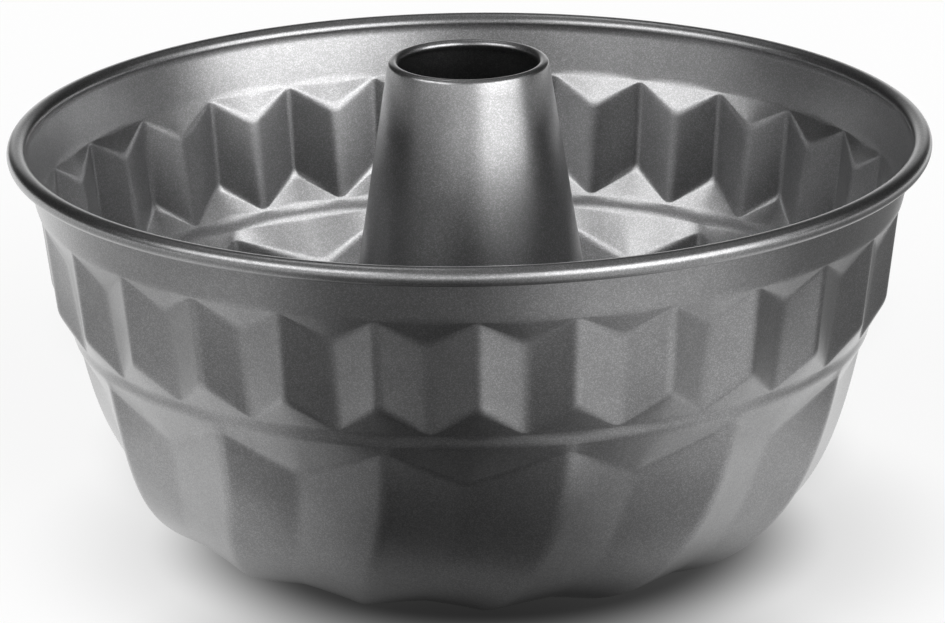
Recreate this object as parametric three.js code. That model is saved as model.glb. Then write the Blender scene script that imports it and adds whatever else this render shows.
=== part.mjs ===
// Fluted tube pan: a ring-cake mould of two sheet-steel pressings, in millimetres, +Z up.
// The bowl has a rolled rim, a plain band, a row of small flat-sided flutes, a plain waist and a row
// of large flutes that swirl under the bowl to its foot. The tapered centre tube stands in a hole in
// the floor, where its foot is folded round the collar of that hole.
// The origin is the centre of the foot, on the table. The bowl's front is towards -Y.

import * as THREE from 'three';

// Sheet of both pressings, and the gap left in the folded seam between them
const SHEET = 0.6;
const SEAM_GAP = 0.3;

// Rolled rim
const RIM_RADIUS = 115;
const RIM_HEIGHT = 101.9;
const BEAD_RADIUS = 2.4;
const BEAD_END_ANGLE = THREE.MathUtils.degToRad(-137);
const BEAD_STEPS = 9;

// Plain band under the rim: its depth below the bead's centre, and how far it draws in
const BAND_DEPTH = 12.6;
const BAND_INSET = 2.7;

// Upper row of small flutes
const LOWER_FLUTES = 14;
const UPPER_FLUTES = 2 * LOWER_FLUTES;
const UPPER_DEPTH = 31.1;
const UPPER_INSET = 2.8;
const UPPER_VALLEY = 3.4;
const UPPER_HEAD_CHAMFER = 7;
const UPPER_FOOT_CHAMFER = 8.1;
const EDGE_DROP = 0.9;

// Plain waist between the two rows
const WAIST_STEP = 4.9;
const WAIST_DEPTH = 3;
const WAIST_INSET = 0.3;

// Lower row of large flutes: depth and drop of a valley's head, how far the valleys lie ahead of the
// middle between two ridges, and the swirl towards the foot
const LOWER_VALLEY = 6.4;
const LOWER_HEAD_CHAMFER = 11.3;
const LOWER_VALLEY_LEAD = THREE.MathUtils.degToRad(-1.5);
const LOWER_STEPS = 9;
const RIDGE_START = 0.05;
const SWIRL = THREE.MathUtils.degToRad(-12.3);
const SWIRL_POWER = 2.5;

// How full the two sweeps from wall to foot are: shares of the way in, and of the height left
const RIDGE_SWEEP = { upperIn: 0.18, upperHeight: 0.31, lowerOut: 0.56, lowerHeight: 0.1 };
const VALLEY_SWEEP = { upperIn: 0.2, upperHeight: 0.32, lowerOut: 0.8, lowerHeight: 0.17 };

// Foot: the flat ring that stands on the table, and the reach of the lobes beyond it
const FOOT_RING_WIDTH = 5.1;
const LOBE_REACH = 10.5;
const FLOOR_RISE_WIDTH = 3.6;

// Centre tube, measured on its outside
const TUBE_TOP_RADIUS = 20.1;
const TUBE_FOOT_RADIUS = 38.8;
const TUBE_HEIGHT = 122.9;
const LIP_RADIUS = 1.3;
const LIP_END_ANGLE = THREE.MathUtils.degToRad(250);
const LIP_STEPS = 7;
const TUBE_SEGMENTS = 44;

// Folded seam: the tube's hem, its clearance above the table and the floor's clearance above it
const HEM_HEIGHT = 2;
const HEM_CLEARANCE = 0.4;
const HEM_STEPS = 4;
const LEDGE_CLEARANCE = 0.5;
const LEDGE_MARGIN = 0.9;

// Direction of the small ridge that stands nearest the front
const FRONT_RIDGE_ANGLE = THREE.MathUtils.degToRad(-89.34);

// Radii and heights that follow
const beadCentre = RIM_RADIUS - BEAD_RADIUS;
const rollInside = BEAD_RADIUS - SHEET;
const bandFoot = { r: beadCentre - rollInside - BAND_INSET, z: RIM_HEIGHT - BAND_DEPTH };
const waistTop = { r: bandFoot.r - UPPER_INSET - WAIST_STEP, z: bandFoot.z - UPPER_DEPTH };
const waistFoot = { r: waistTop.r - WAIST_INSET, z: waistTop.z - WAIST_DEPTH };
const upperRidge = {
  head: new THREE.Vector2(bandFoot.r, bandFoot.z),
  foot: new THREE.Vector2(bandFoot.r - UPPER_INSET, waistTop.z + UPPER_FOOT_CHAMFER),
};
const upperValley = {
  head: new THREE.Vector2(bandFoot.r - UPPER_VALLEY, bandFoot.z - UPPER_HEAD_CHAMFER),
  foot: new THREE.Vector2(waistTop.r, waistTop.z),
};

const hemBend = SEAM_GAP + SHEET;
const hemCentreZ = HEM_CLEARANCE + hemBend + SHEET / 2;
const collarOutside = TUBE_FOOT_RADIUS + SEAM_GAP + SHEET;
const hemOutside = collarOutside + SEAM_GAP + SHEET;
const ledgeZ = hemCentreZ + HEM_HEIGHT + LEDGE_CLEARANCE;
const ledgeRadius = hemOutside + LEDGE_MARGIN;
const footInside = ledgeRadius + FLOOR_RISE_WIDTH;
const footValley = footInside + FOOT_RING_WIDTH;
const footRidge = footValley + LOBE_REACH;

const COLUMNS = 2 * UPPER_FLUTES;
const RIM_COLUMNS = 2 * COLUMNS;

const coating = { color: 0x48484a, roughness: 0.42, metalness: 0.75 };

function polar(radius, angle, height) {
  return new THREE.Vector3(radius * Math.cos(angle), radius * Math.sin(angle), height);
}

function columnAngle(column, columns) {
  return FRONT_RIDGE_ANGLE + (column / columns) * 2 * Math.PI;
}

function circle(radius, height, columns, turn) {
  return Array.from({ length: columns }, (_, c) => polar(radius, columnAngle(c, columns) + turn, height));
}

// A round row of the sheet. Its neighbours in the same round stretch give it its direction.
function round(r, z, columns = COLUMNS, turn = 0) {
  return { r, z, columns, turn, outside: circle(r, z, columns, turn) };
}

// One row of the small flutes: ridges on the even columns, valleys on the odd ones.
function upperRow(ridge, valley) {
  const outside = Array.from({ length: COLUMNS }, (_, c) => {
    const at = c % 2 === 0 ? ridge : valley;
    return polar(at.x, columnAngle(c, COLUMNS), at.y);
  });
  return { outside };
}

// The sweep of a ridge or a valley from the wall down and under to the foot.
function sweepCurve(start, footRadius, sweep) {
  const upperR = THREE.MathUtils.lerp(start.x, footRadius, sweep.upperIn);
  const lowerR = THREE.MathUtils.lerp(footRadius, start.x, sweep.lowerOut);
  return new THREE.CubicBezierCurve(
    start,
    new THREE.Vector2(upperR, start.y * sweep.upperHeight),
    new THREE.Vector2(lowerR, start.y * sweep.lowerHeight),
    new THREE.Vector2(footRadius, 0),
  );
}

function swirlAt(height) {
  return SWIRL * Math.pow(1 - height / waistFoot.z, SWIRL_POWER);
}

// One row of the large flutes. A ridge continues every second small ridge, a valley lies between,
// and the flat side of a flute runs straight from one to the other.
function lowerRow(ridge, valley) {
  const outside = [];
  for (let c = 0; c < COLUMNS; c += 2) {
    const at = c % 4 === 2 ? ridge : valley;
    const lead = c % 4 === 2 ? 0 : LOWER_VALLEY_LEAD;
    outside[c] = polar(at.x, columnAngle(c, COLUMNS) + swirlAt(at.y) + lead, at.y);
  }
  for (let c = 1; c < COLUMNS; c += 2) {
    outside[c] = outside[c - 1].clone().lerp(outside[(c + 1) % COLUMNS], 0.5);
  }
  return { outside };
}

function lowerRows() {
  const ridgeCurve = sweepCurve(new THREE.Vector2(waistFoot.r, waistFoot.z), footRidge, RIDGE_SWEEP);
  const valleyHead = new THREE.Vector2(waistFoot.r - LOWER_VALLEY, waistFoot.z - LOWER_HEAD_CHAMFER);
  const valleyCurve = sweepCurve(valleyHead, footValley, VALLEY_SWEEP);
  const rows = [];
  for (let step = LOWER_STEPS; step >= 0; step -= 1) {
    const share = step / LOWER_STEPS;
    const ridge = ridgeCurve.getPoint(RIDGE_START + (1 - RIDGE_START) * share);
    rows.push(lowerRow(ridge, valleyCurve.getPoint(share)));
  }
  return rows;
}

function upperRows() {
  const ridgeLine = new THREE.LineCurve(upperRidge.head, upperRidge.foot);
  const valleyLine = new THREE.LineCurve(upperValley.head, upperValley.foot);
  const ridgeTop = ridgeLine.getPoint(EDGE_DROP / (upperRidge.head.y - upperRidge.foot.y));
  const valleyEnd = valleyLine.getPoint(1 - EDGE_DROP / (upperValley.head.y - upperValley.foot.y));
  return [upperRow(upperRidge.foot, valleyEnd), upperRow(ridgeTop, upperValley.head)];
}

// The rolled rim, from the top of the band over the top and round under itself.
function rimRows() {
  const bandTilt = Math.atan2(BAND_INSET, BAND_DEPTH);
  const start = Math.PI + bandTilt;
  const rows = [];
  for (let step = 0; step <= BEAD_STEPS; step += 1) {
    const angle = THREE.MathUtils.lerp(start, BEAD_END_ANGLE, step / BEAD_STEPS);
    const r = beadCentre + rollInside * Math.cos(angle);
    rows.push(round(r, RIM_HEIGHT + rollInside * Math.sin(angle), RIM_COLUMNS));
  }
  return rows;
}

// The floor from the collar of the hole, over the seam and down to the flat ring of the foot. Its
// rows are turned as far as the swirl turns the flutes, so that they meet the foot squarely.
function floorRows() {
  const bend = SHEET;
  const section = [
    [collarOutside, hemCentreZ],
    [collarOutside, ledgeZ - bend],
    [collarOutside + bend * (1 - Math.SQRT1_2), ledgeZ - bend * (1 - Math.SQRT1_2)],
    [collarOutside + bend, ledgeZ],
    [ledgeRadius, ledgeZ],
    [footInside, 0],
  ];
  return section.map(([r, z]) => round(r, z, COLUMNS, SWIRL));
}

function sheetNormal2(from, to) {
  return new THREE.Vector2(to.z - from.z, from.r - to.r).normalize();
}

// The cavity side of a round row, one sheet away from its outside.
function insideOfRound(row, before, after) {
  const lower = before?.r === undefined ? null : sheetNormal2(before, row);
  const upper = after?.r === undefined ? null : sheetNormal2(row, after);
  const normal = (lower ?? upper).clone().add(upper ?? lower).normalize();
  const reach = SHEET / normal.dot(upper ?? lower);
  return circle(row.r - normal.x * reach, row.z - normal.y * reach, row.columns, row.turn);
}

// The cavity side of a fluted row, one sheet away along the direction in which each corner faces.
function insideOfFluted(row, before, after) {
  const count = row.outside.length;
  return row.outside.map((point, c) => {
    const along = row.outside[(c + 1) % count].clone().sub(row.outside[(c + count - 1) % count]);
    const lower = along.clone().cross(point.clone().sub(before.outside[c])).normalize();
    const upper = along.clone().cross(after.outside[c].clone().sub(point)).normalize();
    const normal = lower.clone().add(upper).normalize();
    return point.clone().addScaledVector(normal, -SHEET / normal.dot(upper));
  });
}

function addInsides(rows) {
  rows.forEach((row, i) => {
    const inside = row.r === undefined ? insideOfFluted : insideOfRound;
    row.inside = inside(row, rows[i - 1], rows[i + 1]);
  });
}

// Triangles between two rows of points, which have as many columns as each other, or twice as many.
// A four-cornered facet is parted along its shorter diagonal, so that both sides of a flute match.
function stitch(lower, upper, triangles) {
  const count = Math.min(lower.length, upper.length);
  const lowerStep = lower.length / count;
  const upperStep = upper.length / count;
  for (let c = 0; c < count; c += 1) {
    const a = lower[c * lowerStep];
    const b = lower[((c + 1) * lowerStep) % lower.length];
    const d = upper[c * upperStep];
    const e = upper[((c + 1) * upperStep) % upper.length];
    if (lowerStep > 1) {
      const middle = lower[c * lowerStep + 1];
      triangles.push(a, middle, d, middle, e, d, middle, b, e);
    } else if (upperStep > 1) {
      const middle = upper[c * upperStep + 1];
      triangles.push(a, middle, d, a, b, middle, b, e, middle);
    } else if (a.distanceTo(e) < b.distanceTo(d)) {
      triangles.push(a, b, e, a, e, d);
    } else {
      triangles.push(a, b, d, b, e, d);
    }
  }
}

function bowlGeometry() {
  const rows = [
    ...floorRows(),
    ...lowerRows(),
    round(waistFoot.r, waistFoot.z),
    round(waistTop.r, waistTop.z),
    ...upperRows(),
    round(bandFoot.r, bandFoot.z),
    ...rimRows(),
  ];
  addInsides(rows);
  const loop = [...rows.map((row) => row.outside), ...rows.map((row) => row.inside).reverse()];
  const triangles = [];
  loop.forEach((row, i) => stitch(row, loop[(i + 1) % loop.length], triangles));
  return new THREE.BufferGeometry().setFromPoints(triangles);
}

function arcPoints(centreR, centreZ, radius, start, end, steps) {
  return Array.from({ length: steps + 1 }, (_, step) => {
    const angle = THREE.MathUtils.lerp(start, end, step / steps);
    return { r: centreR + radius * Math.cos(angle), z: centreZ + radius * Math.sin(angle) };
  });
}

// Middle line of the tube's sheet: the hem from its edge, down and round, then the cone and the lip.
function tubeMiddleLine() {
  const collarMiddle = collarOutside - SHEET / 2;
  const lipMiddle = LIP_RADIUS - SHEET / 2;
  const lipCentre = { r: TUBE_TOP_RADIUS - LIP_RADIUS, z: TUBE_HEIGHT - LIP_RADIUS };
  const coneTilt = Math.atan2(TUBE_FOOT_RADIUS - TUBE_TOP_RADIUS, lipCentre.z - hemCentreZ);
  return [
    { r: collarMiddle + hemBend, z: hemCentreZ + HEM_HEIGHT },
    ...arcPoints(collarMiddle, hemCentreZ, hemBend, 0, -Math.PI, HEM_STEPS),
    ...arcPoints(lipCentre.r, lipCentre.z, lipMiddle, coneTilt, LIP_END_ANGLE, LIP_STEPS),
  ];
}

// Both faces of a sheet about its middle line, as one closed outline.
function sheetOutline(line) {
  const faces = [[], []];
  line.forEach((point, i) => {
    const lower = i > 0 ? sheetNormal2(line[i - 1], point) : null;
    const upper = i < line.length - 1 ? sheetNormal2(point, line[i + 1]) : null;
    const normal = (lower ?? upper).clone().add(upper ?? lower).normalize();
    const reach = SHEET / 2 / normal.dot(upper ?? lower);
    faces[0].push(new THREE.Vector2(point.r + normal.x * reach, point.z + normal.y * reach));
    faces[1].push(new THREE.Vector2(point.r - normal.x * reach, point.z - normal.y * reach));
  });
  return [...faces[0], ...faces[1].reverse(), faces[0][0].clone()];
}

// A lathe turns about its own Y axis, so the turned tube is stood up along +Z.
function tubeGeometry() {
  return new THREE.LatheGeometry(sheetOutline(tubeMiddleLine()), TUBE_SEGMENTS).rotateX(Math.PI / 2);
}

function piece(name, geometry) {
  const mesh = new THREE.Mesh(geometry, new THREE.MeshStandardMaterial(coating));
  mesh.name = name;
  return mesh;
}

const pan = new THREE.Group();
pan.add(piece('fluted_bowl', bowlGeometry()));
pan.add(piece('centre_tube', tubeGeometry()));

export default pan;
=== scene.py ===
"""Fluted tube pan: the dressed bowl and centre tube, a pale floor with painted shadows and painted shade, soft light
and the camera.
"""

import logging
import math
from dataclasses import dataclass
from enum import Enum
from typing import Callable
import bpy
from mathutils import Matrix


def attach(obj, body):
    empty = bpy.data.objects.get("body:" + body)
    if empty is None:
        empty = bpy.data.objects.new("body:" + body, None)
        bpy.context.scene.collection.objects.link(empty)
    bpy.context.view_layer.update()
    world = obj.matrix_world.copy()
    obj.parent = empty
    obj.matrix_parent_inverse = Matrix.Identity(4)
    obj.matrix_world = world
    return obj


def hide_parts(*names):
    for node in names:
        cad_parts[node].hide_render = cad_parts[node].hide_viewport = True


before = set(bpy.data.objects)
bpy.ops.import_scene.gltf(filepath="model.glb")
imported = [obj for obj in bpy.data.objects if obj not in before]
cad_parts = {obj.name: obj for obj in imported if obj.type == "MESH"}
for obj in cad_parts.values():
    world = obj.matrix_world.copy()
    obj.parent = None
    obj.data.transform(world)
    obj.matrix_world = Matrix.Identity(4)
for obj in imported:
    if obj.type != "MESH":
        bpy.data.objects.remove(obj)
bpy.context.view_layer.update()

import bpy
import numpy as np
from mathutils import Matrix, Vector

LOG = logging.getLogger("tube_pan")
MM = 0.001
IMAGE_WIDTH = 945


class Slot(Enum):
    """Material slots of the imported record."""

    BOWL = "bowl_coating"
    TUBE = "tube_coating"


class NodeSheet:
    """A node tree with short ways to add nodes and links."""

    def __init__(self, tree: bpy.types.NodeTree) -> None:
        """Empty the tree.

        Args:
            tree: The node tree to fill.
        """
        tree.nodes.clear()
        self.tree = tree

    def add(self, kind: str, inputs: dict | None = None, **settings: object) -> bpy.types.Node:
        """Add a node.

        Args:
            kind: Blender's name of the node type.
            inputs: Values or output sockets by input name or number.
            **settings: Properties of the node.

        Returns:
            The new node.
        """
        node = self.tree.nodes.new(kind)
        for name, value in settings.items():
            setattr(node, name, value)
        for name, value in (inputs or {}).items():
            if isinstance(value, bpy.types.NodeSocket):
                self.tree.links.new(value, node.inputs[name])
            else:
                node.inputs[name].default_value = value
        return node

    def math(self, operation: str, *values: float | bpy.types.NodeSocket) -> bpy.types.NodeSocket:
        """Add a Math node.

        Args:
            operation: Name of the operation.
            *values: Numbers or sockets.

        Returns:
            The result's socket.
        """
        return self.add("ShaderNodeMath", dict(enumerate(values)), operation=operation).outputs[0]

    def fade(self, value: bpy.types.NodeSocket, start: float, end: float) -> bpy.types.NodeSocket:
        """Turn a value into a smooth step.

        Args:
            value: Socket of the value.
            start: Value at which the result is 0.
            end: Value at which the result is 1.

        Returns:
            The result's socket.
        """
        inputs = {"Value": value, "From Min": start, "From Max": end}
        return self.add("ShaderNodeMapRange", inputs, interpolation_type="SMOOTHSTEP").outputs[0]

    def azimuth(self, x: bpy.types.NodeSocket, y: bpy.types.NodeSocket) -> bpy.types.NodeSocket:
        """Direction about the pan's axis in degrees, 0 at the front and rising to the right."""
        turn = self.math("ARCTAN2", x, self.math("MULTIPLY", y, -1.0))
        return self.math("MULTIPLY", turn, 180 / math.pi)

    def aside(self, azimuth: bpy.types.NodeSocket, centre: float) -> bpy.types.NodeSocket:
        """How far a direction is from a centre, in degrees."""
        return self.math("ABSOLUTE", self.math("WRAP", self.math("SUBTRACT", azimuth, centre), 180.0, -180.0))


@dataclass(frozen=True)
class SpeckledCoating:
    """Satin dark grey non-stick coating with a fine metallic speckle. Lengths in millimetres."""

    name: str
    tone: float = 0.27
    speckle_tone: float = 0.36
    speckle_size: float = 0.21
    cloud_size: float = 9.0
    roughness: float = 0.33
    roughness_spread: float = 0.05
    grain_size: float = 0.45
    grain_height: float = 0.012
    topcoat: float = 1.0
    topcoat_roughness: float = 0.25

    def material(self) -> bpy.types.Material:
        """Make the coating's material.

        Returns:
            The new material.
        """
        made = bpy.data.materials.new(self.name)
        made.use_nodes = True
        sheet = NodeSheet(made.node_tree)
        place = sheet.add("ShaderNodeTexCoord").outputs["Object"]
        flecks = sheet.add(
            "ShaderNodeTexVoronoi", {"Vector": place, "Scale": 1.0 / (self.speckle_size * MM)}
        )
        fleck = sheet.add("ShaderNodeSeparateColor", {"Color": flecks.outputs["Color"]}).outputs[0]
        cloud = sheet.add(
            "ShaderNodeTexNoise", {"Vector": place, "Scale": 1.0 / (self.cloud_size * MM), "Detail": 3.0}
        ).outputs["Fac"]
        tone = sheet.math("POWER", fleck, 2.2)
        tone = sheet.math("MULTIPLY_ADD", tone, self.speckle_tone - 0.79 * self.tone, 0.79 * self.tone)
        cloudy = sheet.math("MULTIPLY_ADD", cloud, 0.3, 0.85)
        tone = sheet.math("MULTIPLY", tone, cloudy)
        colour = sheet.add("ShaderNodeCombineColor", {0: tone, 1: tone, 2: sheet.math("MULTIPLY", tone, 1.012)})
        grain = sheet.add(
            "ShaderNodeTexNoise", {"Vector": place, "Scale": 1.0 / (self.grain_size * MM), "Detail": 2.0}
        ).outputs["Fac"]
        rough = sheet.math("MULTIPLY_ADD", grain, 2 * self.roughness_spread, self.roughness - self.roughness_spread)
        bump = sheet.add(
            "ShaderNodeBump", {"Height": grain, "Distance": self.grain_height * MM, "Strength": 1.0}
        )
        shader = sheet.add(
            "ShaderNodeBsdfPrincipled",
            {
                "Base Color": colour.outputs[0],
                "Metallic": 1.0,
                "Roughness": rough,
                "Normal": bump.outputs["Normal"],
                "Coat Weight": self.topcoat,
                "Coat Roughness": self.topcoat_roughness,
            },
        )
        sheet.add("ShaderNodeOutputMaterial", {"Surface": shader.outputs[0]})
        return made


@dataclass(frozen=True)
class ShadeEdge:
    """A soft straight edge of a painted shade zone on the floor: its direction, and the distances in metres where the
    painted shade fades in.
    """

    direction: tuple[float, float]
    start: float
    end: float


@dataclass(frozen=True)
class PaintedShadeZone:
    """A painted shade zone of the floor outside the picture: grey painted into the floor's colour where it stands for
    floor in shade.

    It lies between two directions in degrees from the pan, within a distance in metres and beyond an edge
    that runs along the picture's border.
    """

    azimuth: float
    half_width: float
    softness: float
    edge: ShadeEdge
    tone: float
    reach: float
    reach_end: float


@dataclass(frozen=True)
class PaintedShadow:
    """A round soft painted shadow on the floor: its middle, where it fades, and its tone. Lengths in metres."""

    place: tuple[float, float, float]
    start: float
    end: float
    tone: float


@dataclass(frozen=True)
class FloorPaint:
    """Matt pale paint of the floor, with painted shade zones and painted shadows under and round the pan. Lengths in
    metres.
    """

    name: str = "pale_floor_painted_shade"
    tone: float = 1.0
    shadow_share: float = 0.14
    # Painted shadows: a dark contact shadow at the foot with a lighter penumbra round it, one in front of the pan, and
    # two that join into a cast shadow behind it.
    painted_shadows: tuple[PaintedShadow, ...] = (
        PaintedShadow((0.004, -0.008, 0.0), 0.056, 0.088, 0.08),
        PaintedShadow((0.008, -0.014, 0.0), 0.070, 0.130, 0.75),
        PaintedShadow((0.000, -0.100, 0.0), 0.025, 0.095, 0.42),
        PaintedShadow((0.000, 0.070, 0.0), 0.045, 0.105, 0.25),
        PaintedShadow((0.000, 0.185, 0.0), 0.030, 0.125, 0.45),
    )
    # Painted shade zones: near the front right, a long painted cast shadow towards the front, a dark one to the right
    # and a lighter one to the left; the pan's outside reflects them.
    shade_zones: tuple[PaintedShadeZone, ...] = (
        PaintedShadeZone(46.0, 30.0, 16.0, ShadeEdge((0.0, -1.0), 0.071, 0.102), 0.42, 0.120, 0.180),
        PaintedShadeZone(-14.0, 29.0, 17.0, ShadeEdge((0.0, -1.0), 0.070, 0.112), 0.18, 0.26, 0.60),
        PaintedShadeZone(112.0, 50.0, 24.0, ShadeEdge((1.0, -0.075), 0.119, 0.195), 0.22, 0.24, 0.90),
        PaintedShadeZone(-76.0, 30.0, 22.0, ShadeEdge((-1.0, -0.075), 0.122, 0.200), 0.60, 0.24, 0.80),
    )

    def tone_map(self, sheet: NodeSheet) -> bpy.types.NodeSocket:
        """Lay out the floor's tone by place, darkened by the painted shadows and the painted shade zones.

        Args:
            sheet: The material's nodes.

        Returns:
            Socket of the tone.
        """
        place = sheet.add("ShaderNodeTexCoord").outputs["Object"]
        x, y, _ = sheet.add("ShaderNodeSeparateXYZ", {0: place}).outputs
        azimuth = sheet.azimuth(x, y)
        distance = sheet.add("ShaderNodeVectorMath", {0: place}, operation="LENGTH").outputs["Value"]
        tone: float | bpy.types.NodeSocket = self.tone
        # Painted shadows: each darkens the tone round its middle, fading out between its start and end.
        for painted_shadow in self.painted_shadows:
            away = sheet.add("ShaderNodeVectorMath", {0: place, 1: painted_shadow.place}, operation="DISTANCE")
            lit = sheet.fade(away.outputs["Value"], painted_shadow.start, painted_shadow.end)
            tone = sheet.math("MULTIPLY", tone, sheet.math("MULTIPLY_ADD", lit, 1.0 - painted_shadow.tone, painted_shadow.tone))
        # Painted shade zones: each darkens the tone between its directions, within its reach and beyond its edge.
        for shade_zone in self.shade_zones:
            inside = sheet.fade(
                sheet.aside(azimuth, shade_zone.azimuth), shade_zone.half_width + shade_zone.softness, shade_zone.half_width - shade_zone.softness
            )
            inside = sheet.math("MULTIPLY", inside, sheet.fade(distance, shade_zone.reach_end, shade_zone.reach))
            along_x, along_y = shade_zone.edge.direction
            beyond = sheet.math("MULTIPLY_ADD", x, along_x, sheet.math("MULTIPLY", y, along_y))
            inside = sheet.math("MULTIPLY", inside, sheet.fade(beyond, shade_zone.edge.start, shade_zone.edge.end))
            tone = sheet.math("MULTIPLY", tone, sheet.math("MULTIPLY_ADD", inside, shade_zone.tone - 1.0, 1.0))
        return tone

    def material(self) -> bpy.types.Material:
        """Make the floor's material.

        Returns:
            The new material.
        """
        made = bpy.data.materials.new(self.name)
        made.use_nodes = True
        sheet = NodeSheet(made.node_tree)
        tone = self.tone_map(sheet)
        colour = sheet.add("ShaderNodeCombineColor", {0: tone, 1: tone, 2: tone}).outputs[0]
        matt = sheet.add("ShaderNodeBsdfDiffuse", {"Color": colour, "Roughness": 0.5})
        # Camera, glossy and transmission rays see the floor mostly through its emission, whose colour holds the painted
        # shadows and painted shade; the diffuse share keeps the pan's real shadow.
        shown = sheet.add("ShaderNodeEmission", {"Color": colour, "Strength": 1.0})
        path = sheet.add("ShaderNodeLightPath").outputs
        seen = sheet.math("ADD", path["Is Camera Ray"], path["Is Glossy Ray"])
        seen = sheet.math("MINIMUM", sheet.math("ADD", seen, path["Is Transmission Ray"]), 1.0)
        share = sheet.math("MULTIPLY", seen, 1.0 - self.shadow_share)
        mixed = sheet.add("ShaderNodeMixShader", {0: share, 1: matt.outputs[0], 2: shown.outputs[0]})
        sheet.add("ShaderNodeOutputMaterial", {"Surface": mixed.outputs[0]})
        return made


def turned(radius: np.ndarray | float, angle: np.ndarray, height: np.ndarray | float) -> np.ndarray:
    """Points on a circle or on a wavy ring.

    Args:
        radius: Distance from the axis.
        angle: Directions in radians.
        height: Height above the table.

    Returns:
        Array of points, one row each.
    """
    flat = np.broadcast_to(height, angle.shape)
    return np.stack([radius * np.cos(angle), radius * np.sin(angle), flat], axis=1)


def closed_mesh(name: str, rows: np.ndarray) -> bpy.types.Object:
    """Make a closed mesh from rings of points that follow each other round a section.

    Args:
        name: Name of the object and its mesh.
        rows: Array of rings, points and coordinates, in millimetres.

    Returns:
        The new object, linked to the scene.
    """
    count, columns = rows.shape[:2]
    index = np.arange(count * columns, dtype=np.int32).reshape(count, columns)
    after = np.roll(index, -1, axis=0)
    quads = np.stack([index, np.roll(index, -1, axis=1), np.roll(after, -1, axis=1), after], axis=2)
    mesh = bpy.data.meshes.new(name)
    mesh.vertices.add(count * columns)
    mesh.vertices.foreach_set("co", (rows * MM).astype(np.float32).ravel())
    mesh.loops.add(quads.size)
    mesh.loops.foreach_set("vertex_index", quads.astype(np.int32).ravel())
    mesh.polygons.add(count * columns)
    mesh.polygons.foreach_set("loop_start", np.arange(0, quads.size, 4, dtype=np.int32))
    mesh.polygons.foreach_set("use_smooth", np.ones(count * columns, dtype=bool))
    mesh.update(calc_edges=True)
    mesh.set_sharp_from_angle(angle=math.radians(55))
    piece = bpy.data.objects.new(name, mesh)
    bpy.context.scene.collection.objects.link(piece)
    return piece


def coat(piece: bpy.types.Object, coating: SpeckledCoating, node: str) -> None:
    """Give a piece its finish, and put it in the place of its node.

    Args:
        piece: The piece to coat.
        coating: Its finish.
        node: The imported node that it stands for.
    """
    piece.data.materials.append(coating.material())
    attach(piece, "root")
    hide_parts(node)


@dataclass
class Stretch:
    """A stretch of the bowl's sheet between two creases, as rings from its start to its end."""

    ring: Callable[[float], np.ndarray]
    length: float
    spacing: float
    crease: float = 0.0

    def slope(self, share: float) -> np.ndarray:
        """Direction in which the sheet runs at the start (share 0) or the end (share 1)."""
        near = 1e-3 if share == 0 else 1 - 1e-3
        return (self.ring(share) - self.ring(near)) / ((share - near) * self.length)

    def stations(self, end_crease: float) -> np.ndarray:
        """Distances from the start at which rings are made.

        Args:
            end_crease: Half width of the rounding at the end.

        Returns:
            Rising distances, the end left out.
        """
        steps = max(2, round(self.length / self.spacing))
        even = np.linspace(0, self.length, steps + 1)
        fine = np.linspace(0, 1, 6)
        near = np.concatenate([fine * self.crease, self.length - fine * end_crease])
        inner = even[(even > self.crease) & (even < self.length - end_crease)]
        found = np.unique(np.round(np.concatenate([[0.0], near, inner]), 5))
        return found[found < self.length - 1e-4]


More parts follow.
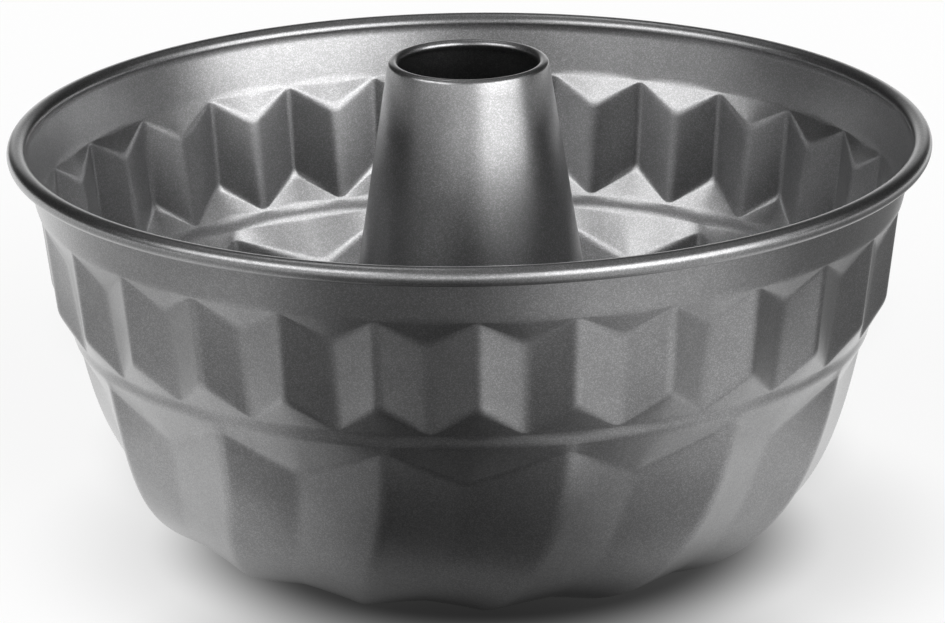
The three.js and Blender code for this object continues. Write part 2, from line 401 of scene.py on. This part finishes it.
@dataclass
class FlutedBowl:
    """The bowl's pressing: rolled rim, band, small flutes, waist, swirling large flutes and foot.

    Lengths are in millimetres and angles in degrees.
    """

    sheet: float = 0.6
    rim_radius: float = 115.0
    rim_height: float = 101.9
    bead_radius: float = 2.4
    bead_end: float = -137.0
    band_depth: float = 12.6
    band_inset: float = 2.7
    large_flutes: int = 14
    small_depth: float = 31.1
    small_inset: float = 2.8
    small_valley: float = 3.4
    small_head: float = 7.0
    small_foot: float = 8.1
    edge_drop: float = 0.35
    waist_step: float = 4.9
    waist_depth: float = 3.0
    waist_inset: float = 0.7
    large_valley: float = 6.4
    large_head: float = 11.3
    large_lead: float = -1.5
    ridge_start: float = 0.02
    swirl: float = -12.3
    swirl_power: float = 2.5
    ridge_sweep: tuple[float, float, float, float] = (0.18, 0.31, 0.56, 0.10)
    valley_sweep: tuple[float, float, float, float] = (0.20, 0.32, 0.80, 0.17)
    foot_inside: float = 45.1
    foot_ring: float = 5.1
    lobe_reach: float = 10.5
    ledge_radius: float = 41.5
    ledge_height: float = 4.1
    collar_radius: float = 39.7
    collar_foot: float = 1.6
    front_ridge: float = -89.34
    small_ridge_round: float = 1.5
    small_valley_round: float = 1.8
    large_ridge_round: float = 1.9
    large_valley_round: float = 1.5
    column_steps: tuple[float, ...] = (
        0.0, 0.03, 0.06, 0.095, 0.14, 0.21, 0.32, 0.5, 0.68, 0.79, 0.86, 0.905, 0.94, 0.97
    )

    def __post_init__(self) -> None:
        """Work out what follows from the sizes."""
        self.corners = 4 * self.large_flutes
        self.corner_angles = math.radians(self.front_ridge) + np.arange(self.corners) * 2 * math.pi / self.corners
        self.part = np.repeat(np.arange(self.corners), len(self.column_steps))
        self.share = np.tile(self.column_steps, self.corners)
        self.angles = math.radians(self.front_ridge) + (self.part + self.share) * 2 * math.pi / self.corners
        self.bead_centre = self.rim_radius - self.bead_radius
        self.roll = self.bead_radius - self.sheet
        self.band_foot = (self.bead_centre - self.roll - self.band_inset, self.rim_height - self.band_depth)
        radius, height = self.band_foot
        self.waist_top = (radius - self.small_inset - self.waist_step, height - self.small_depth)
        self.waist_foot = (self.waist_top[0] - self.waist_inset, self.waist_top[1] - self.waist_depth)

    def round_ring(self, radius: float, height: float) -> np.ndarray:
        """A plain circle of points."""
        return turned(radius, self.angles, height)

    def floor_ring(self, radius: float, height: float) -> np.ndarray:
        """A plain circle of points, turned as far as the swirl turns the foot."""
        return turned(radius, self.angles + math.radians(self.swirl), height)

    def fluted_ring(self, corners: np.ndarray, rounding: np.ndarray) -> np.ndarray:
        """A ring with flat sides and rounded corners.

        Args:
            corners: The ring's corner points.
            rounding: Half width of the rounding at each corner.

        Returns:
            The ring's points.
        """
        before, after = np.roll(corners, 1, axis=0), np.roll(corners, -1, axis=0)
        bend = before + after - 2 * corners
        side = np.linalg.norm(after - before, axis=1) / 2
        reach = np.minimum(rounding / side, 0.95)
        following = (self.part + 1) % self.corners
        points = corners[self.part] * (1 - self.share[:, None]) + corners[following] * self.share[:, None]
        for corner, distance in ((self.part, self.share), (following, 1 - self.share)):
            within = np.maximum(reach[corner] - distance, 0)
            points = points + bend[corner] * (within**2 / (4 * reach[corner]))[:, None]
        return points

    def small_ring(self, ridge: tuple[float, float], valley: tuple[float, float]) -> np.ndarray:
        """A ring of the small flutes, from the radius and height of its ridges and valleys."""
        even = np.arange(self.corners) % 2 == 0
        radius = np.where(even, ridge[0], valley[0])
        height = np.where(even, ridge[1], valley[1])
        rounding = np.where(even, self.small_ridge_round, self.small_valley_round)
        return self.fluted_ring(turned(radius, self.corner_angles, height), rounding)

    def sweep(self, start: tuple[float, float], foot: float, fullness: tuple[float, ...], share: float) -> np.ndarray:
        """Radius and height on the sweep of a large ridge or valley.

        Args:
            start: Radius and height at the wall.
            foot: Radius at the foot.
            fullness: How full the sweep is.
            share: Place on the sweep, from 0 at the wall to 1 at the foot.

        Returns:
            Radius and height.
        """
        upper_in, upper_height, lower_out, lower_height = fullness
        points = np.array(
            [
                start,
                (start[0] + (foot - start[0]) * upper_in, start[1] * upper_height),
                (foot + (start[0] - foot) * lower_out, start[1] * lower_height),
                (foot, 0.0),
            ]
        )
        rest = 1 - share
        weights = np.array([rest**3, 3 * rest**2 * share, 3 * rest * share**2, share**3])
        return weights @ points

    def large_ring(self, share: float) -> np.ndarray:
        """A ring of the large flutes, from share 0 at the wall to share 1 at the foot."""
        radius, height = self.waist_foot
        foot = self.foot_inside + self.foot_ring
        ridge = self.sweep(
            self.waist_foot, foot + self.lobe_reach, self.ridge_sweep, self.ridge_start + (1 - self.ridge_start) * share
        )
        head = (radius - self.large_valley, height - self.large_head)
        valley = self.sweep(head, foot, self.valley_sweep, share)
        place = np.arange(self.corners) % 4
        on_ridge = place == 2
        radii = np.where(on_ridge, ridge[0], valley[0])
        heights = np.where(on_ridge, ridge[1], valley[1])
        turn = math.radians(self.swirl) * (1 - heights / height) ** self.swirl_power
        turn = turn + np.where(place == 0, math.radians(self.large_lead), 0.0)
        corners = turned(radii, self.corner_angles + turn, heights)
        middle = place % 2 == 1
        between = (np.roll(corners, 1, axis=0) + np.roll(corners, -1, axis=0)) / 2
        corners = np.where(middle[:, None], between, corners)
        rounding = np.where(on_ridge, self.large_ridge_round, self.large_valley_round)
        return self.fluted_ring(corners, rounding)

    def plain(self, start: np.ndarray, end: np.ndarray, length: float, spacing: float, crease: float) -> Stretch:
        """A stretch that runs straight from one ring to another."""
        return Stretch(lambda share: start + (end - start) * share, length, spacing, crease)

    def small_rings(self) -> tuple[np.ndarray, np.ndarray]:
        """Foot and head rings of the small flutes.

        Returns:
            The two rings.
        """
        radius, height = self.band_foot
        ridge_foot = np.array((radius - self.small_inset, self.waist_top[1] + self.small_foot))
        valley_head = np.array((radius - self.small_valley, height - self.small_head))
        ridge_line = np.array(self.band_foot) - ridge_foot
        valley_line = valley_head - np.array(self.waist_top)
        ridge_head = np.array(self.band_foot) - ridge_line * self.edge_drop / ridge_line[1]
        valley_foot = np.array(self.waist_top) + valley_line * self.edge_drop / valley_line[1]
        return self.small_ring(tuple(ridge_foot), tuple(valley_foot)), self.small_ring(
            tuple(ridge_head), tuple(valley_head)
        )

    def bead_ring(self, share: float) -> np.ndarray:
        """A ring of the rolled rim, on the hollow side of the roll."""
        start = math.pi + math.atan2(self.band_inset, self.band_depth)
        angle = start + (math.radians(self.bead_end) - start) * share
        return self.round_ring(
            self.bead_centre + self.roll * math.cos(angle), self.rim_height + self.roll * math.sin(angle)
        )

    def stretches(self) -> list[Stretch]:
        """The sheet's stretches from the collar of the floor's hole to the end of the rim's roll.

        Returns:
            The stretches in order.
        """
        collar = self.floor_ring(self.collar_radius, self.collar_foot)
        corner = self.floor_ring(self.collar_radius, self.ledge_height)
        ledge = self.floor_ring(self.ledge_radius, self.ledge_height)
        foot = self.floor_ring(self.foot_inside, 0.0)
        waist_foot, waist_top = self.round_ring(*self.waist_foot), self.round_ring(*self.waist_top)
        small_foot, small_head = self.small_rings()
        band_foot = self.round_ring(*self.band_foot)
        return [
            self.plain(collar, corner, self.ledge_height - self.collar_foot, 1.0, 0.0),
            self.plain(corner, ledge, self.ledge_radius - self.collar_radius, 1.0, 0.6),
            self.plain(ledge, foot, 5.5, 1.5, 0.8),
            self.plain(foot, self.large_ring(1.0), 5.1, 1.7, 1.4),
            Stretch(lambda share: self.large_ring(1 - share), 84.0, 1.6, 2.4),
            self.plain(self.large_ring(0.0), waist_foot, 13.0, 2.0, 1.3),
            self.plain(waist_foot, waist_top, self.waist_depth, 1.0, 1.3),
            self.plain(waist_top, small_foot, 9.5, 1.6, 1.4),
            self.plain(small_foot, small_head, 24.0, 2.4, 1.9),
            self.plain(small_head, band_foot, 7.8, 1.5, 1.6),
            self.plain(band_foot, self.bead_ring(0.0), self.band_depth, 1.8, 1.6),
            Stretch(self.bead_ring, 5.74 * self.roll, 0.34),
        ]

    def outside_rows(self) -> np.ndarray:
        """Rings of the outside of the sheet, with its creases rounded.

        Returns:
            Array of rings, points and coordinates.
        """
        stretches = self.stretches()
        jumps = [
            after.slope(0.0) - before.slope(1.0) for before, after in zip(stretches[:-1], stretches[1:])
        ]
        rows: list[np.ndarray] = []
        for order, stretch in enumerate(stretches):
            last = order == len(stretches) - 1
            end_crease = 0.0 if last else stretches[order + 1].crease
            for distance in stretch.stations(end_crease):
                ring = stretch.ring(distance / stretch.length)
                left = stretch.length - distance
                if order and distance < stretch.crease:
                    ring = ring + jumps[order - 1] * (stretch.crease - distance) ** 2 / (4 * stretch.crease)
                if left < end_crease:
                    ring = ring + jumps[order] * (end_crease - left) ** 2 / (4 * end_crease)
                rows.append(ring)
            if last:
                rows.append(stretch.ring(1.0))
        return np.array(rows)

    def facing(self, rows: np.ndarray) -> np.ndarray:
        """Directions in which the outside of the sheet faces.

        Args:
            rows: Rings of the outside.

        Returns:
            Unit directions, shaped as the rings.
        """
        along = np.roll(rows, -1, axis=1) - np.roll(rows, 1, axis=1)
        up = np.gradient(rows, axis=0)
        normal = np.cross(along, up)
        return normal / np.linalg.norm(normal, axis=2, keepdims=True)

    def build(self) -> bpy.types.Object:
        """Build the bowl's mesh.

        Returns:
            The new object.
        """
        outside = self.outside_rows()
        cavity = outside - self.facing(outside) * self.sheet
        return closed_mesh("pressed_bowl", np.concatenate([outside, cavity[::-1]]))

    def dress(self, piece: bpy.types.Object) -> None:
        """Give the bowl its coating and put it in the place of its node."""
        coat(piece, SpeckledCoating("bowl_coating"), "fluted_bowl")


@dataclass
class CentreTube:
    """The drawn cone in the middle, with its rolled lip and folded foot. Lengths in millimetres."""

    sheet: float = 0.6
    top_radius: float = 20.1
    foot_radius: float = 38.8
    height: float = 122.88
    lip_radius: float = 1.3
    lip_end: float = 250.0
    lip_steps: int = 22
    hem_middle: float = 39.4
    hem_bend: float = 0.9
    hem_centre: float = 1.6
    hem_height: float = 2.0
    hem_steps: int = 12
    cone_steps: int = 40
    columns: int = 180

    def arc(self, centre: tuple[float, float], radius: float, start: float, end: float, steps: int) -> np.ndarray:
        """Points of an arc in the section."""
        angle = np.linspace(start, end, steps + 1)
        return np.stack([centre[0] + radius * np.cos(angle), centre[1] + radius * np.sin(angle)], axis=1)

    def middle_line(self) -> np.ndarray:
        """Middle line of the sheet: the hem from its edge, the cone and the lip.

        Returns:
            Radii and heights.
        """
        lip_centre = (self.top_radius - self.lip_radius, self.height - self.lip_radius)
        tilt = math.atan2(self.foot_radius - self.top_radius, lip_centre[1] - self.hem_centre)
        hem = self.arc((self.hem_middle, self.hem_centre), self.hem_bend, 0.0, -math.pi, self.hem_steps)
        lip = self.arc(
            lip_centre, self.lip_radius - self.sheet / 2, tilt, math.radians(self.lip_end), self.lip_steps
        )
        edge = hem[:1] + np.array([[0.0, self.hem_height]])
        cone = np.linspace(hem[-1], lip[0], self.cone_steps + 1)[1:-1]
        return np.concatenate([edge, hem, cone, lip])

    def build(self) -> bpy.types.Object:
        """Build the tube's mesh.

        Returns:
            The new object.
        """
        line = self.middle_line()
        along = np.gradient(line, axis=0)
        along /= np.linalg.norm(along, axis=1, keepdims=True)
        across = np.stack([along[:, 1], -along[:, 0]], axis=1) * self.sheet / 2
        outline = np.concatenate([line + across, (line - across)[::-1]])
        angle = np.arange(self.columns) * 2 * math.pi / self.columns
        rows = np.array([turned(radius, angle, height) for radius, height in outline])
        return closed_mesh("drawn_tube", rows)

    def dress(self, piece: bpy.types.Object) -> None:
        """Give the tube its coating and put it in the place of its node."""
        coat(piece, SpeckledCoating("tube_coating"), "centre_tube")


@dataclass(frozen=True)
class SoftBox:
    """A soft light panel far from the pan, by its direction as seen from the pan, in degrees."""

    azimuth: float
    elevation: float
    half_width: float
    half_height: float
    edge: float
    level: float


@dataclass
class Studio:
    """Floor, soft light and camera. Lengths in metres and angles in degrees."""

    floor_size: float = 6.0
    camera_place: tuple[float, float, float] = (0.0, -1.49949, 0.54028)
    pitch: float = 17.86
    yaw: float = 0.01
    roll: float = 0.74
    focal_pixels: float = 6272.0
    sensor: float = 36.0
    ambient: float = 0.035
    overhead: float = 0.32
    boxes: tuple[SoftBox, ...] = (
        SoftBox(45.0, 10.0, 29.0, 25.5, 6.0, 4.4),
        SoftBox(85.0, 27.0, 16.0, 12.0, 6.0, 0.5),
        SoftBox(-52.0, 29.0, 28.0, 13.0, 5.0, 3.5),
        SoftBox(-10.0, 14.0, 26.0, 24.0, 8.0, 0.4),
        SoftBox(-25.0, 4.0, 50.0, 9.0, 6.0, 0.4),
        SoftBox(-2.0, 6.0, 20.0, 10.0, 8.0, 0.8),
        SoftBox(180.0, 4.0, 18.0, 14.0, 8.0, 0.85),
        SoftBox(-150.0, 68.0, 14.0, 8.0, 4.0, 1.8),
    )

    def build_floor(self) -> bpy.types.Object:
        """Lay the floor.

        Returns:
            The floor's object.
        """
        half = self.floor_size / 2
        mesh = bpy.data.meshes.new("floor")
        mesh.from_pydata([(-half, -half, 0), (half, -half, 0), (half, half, 0), (-half, half, 0)], [], [(0, 1, 2, 3)])
        floor = bpy.data.objects.new("floor", mesh)
        floor.data.materials.append(FloorPaint().material())
        bpy.context.scene.collection.objects.link(floor)
        return floor

    def build_world(self) -> None:
        """Set up the soft light round the pan."""
        world = bpy.data.worlds.new("soft_studio")
        world.use_nodes = True
        bpy.context.scene.world = world
        sheet = NodeSheet(world.node_tree)
        way = sheet.add("ShaderNodeTexCoord").outputs["Generated"]
        x, y, z = sheet.add("ShaderNodeSeparateXYZ", {0: way}).outputs
        azimuth = sheet.azimuth(x, y)
        elevation = sheet.math("MULTIPLY", sheet.math("ARCSINE", z), 180 / math.pi)
        level = sheet.math("MULTIPLY_ADD", sheet.fade(elevation, 38.0, 60.0), self.overhead - self.ambient, self.ambient)
        for box in self.boxes:
            aside = sheet.aside(azimuth, box.azimuth)
            above = sheet.math("ABSOLUTE", sheet.math("SUBTRACT", elevation, box.elevation))
            across = sheet.fade(aside, box.half_width + box.edge, box.half_width - box.edge)
            upright = sheet.fade(above, box.half_height + box.edge, box.half_height - box.edge)
            share = sheet.math("MULTIPLY", across, upright)
            level = sheet.math("MULTIPLY_ADD", share, box.level, level)
        light = sheet.add("ShaderNodeBackground", {"Color": (1.0, 1.0, 1.0, 1.0), "Strength": level})
        sheet.add("ShaderNodeOutputWorld", {"Surface": light.outputs[0]})

    def build_camera(self) -> bpy.types.Object:
        """Set up the camera at the photograph's angle.

        Returns:
            The camera's object.
        """
        pitch, yaw, roll = (math.radians(a) for a in (self.pitch, self.yaw, self.roll))
        ahead = Vector((math.sin(yaw) * math.cos(pitch), math.cos(yaw) * math.cos(pitch), -math.sin(pitch)))
        right = ahead.cross(Vector((0, 0, 1))).normalized()
        down = ahead.cross(right)
        tilted_right = math.cos(roll) * right + math.sin(roll) * down
        tilted_down = math.cos(roll) * down - math.sin(roll) * right
        data = bpy.data.cameras.new("camera")
        data.sensor_width = self.sensor
        data.sensor_fit = "HORIZONTAL"
        data.lens = self.focal_pixels / IMAGE_WIDTH * self.sensor
        camera = bpy.data.objects.new("camera", data)
        turn = Matrix((tilted_right, -tilted_down, -ahead)).transposed()
        camera.matrix_world = Matrix.Translation(self.camera_place) @ turn.to_4x4()
        bpy.context.scene.collection.objects.link(camera)
        bpy.context.scene.camera = camera
        return camera


def main() -> None:
    """Build the pan and the studio."""
    logging.basicConfig(level=logging.INFO, format="%(name)s: %(message)s")
    bpy.context.scene.view_settings.view_transform = "Standard"
    for pressing in (FlutedBowl(), CentreTube()):
        piece = pressing.build()
        pressing.dress(piece)
        LOG.info("%s: %d faces", piece.name, len(piece.data.polygons))
    studio = Studio()
    for made in (studio.build_floor(), studio.build_camera()):
        LOG.info("%s: in place", made.name)
    studio.build_world()


if __name__ == "__main__":
    main()
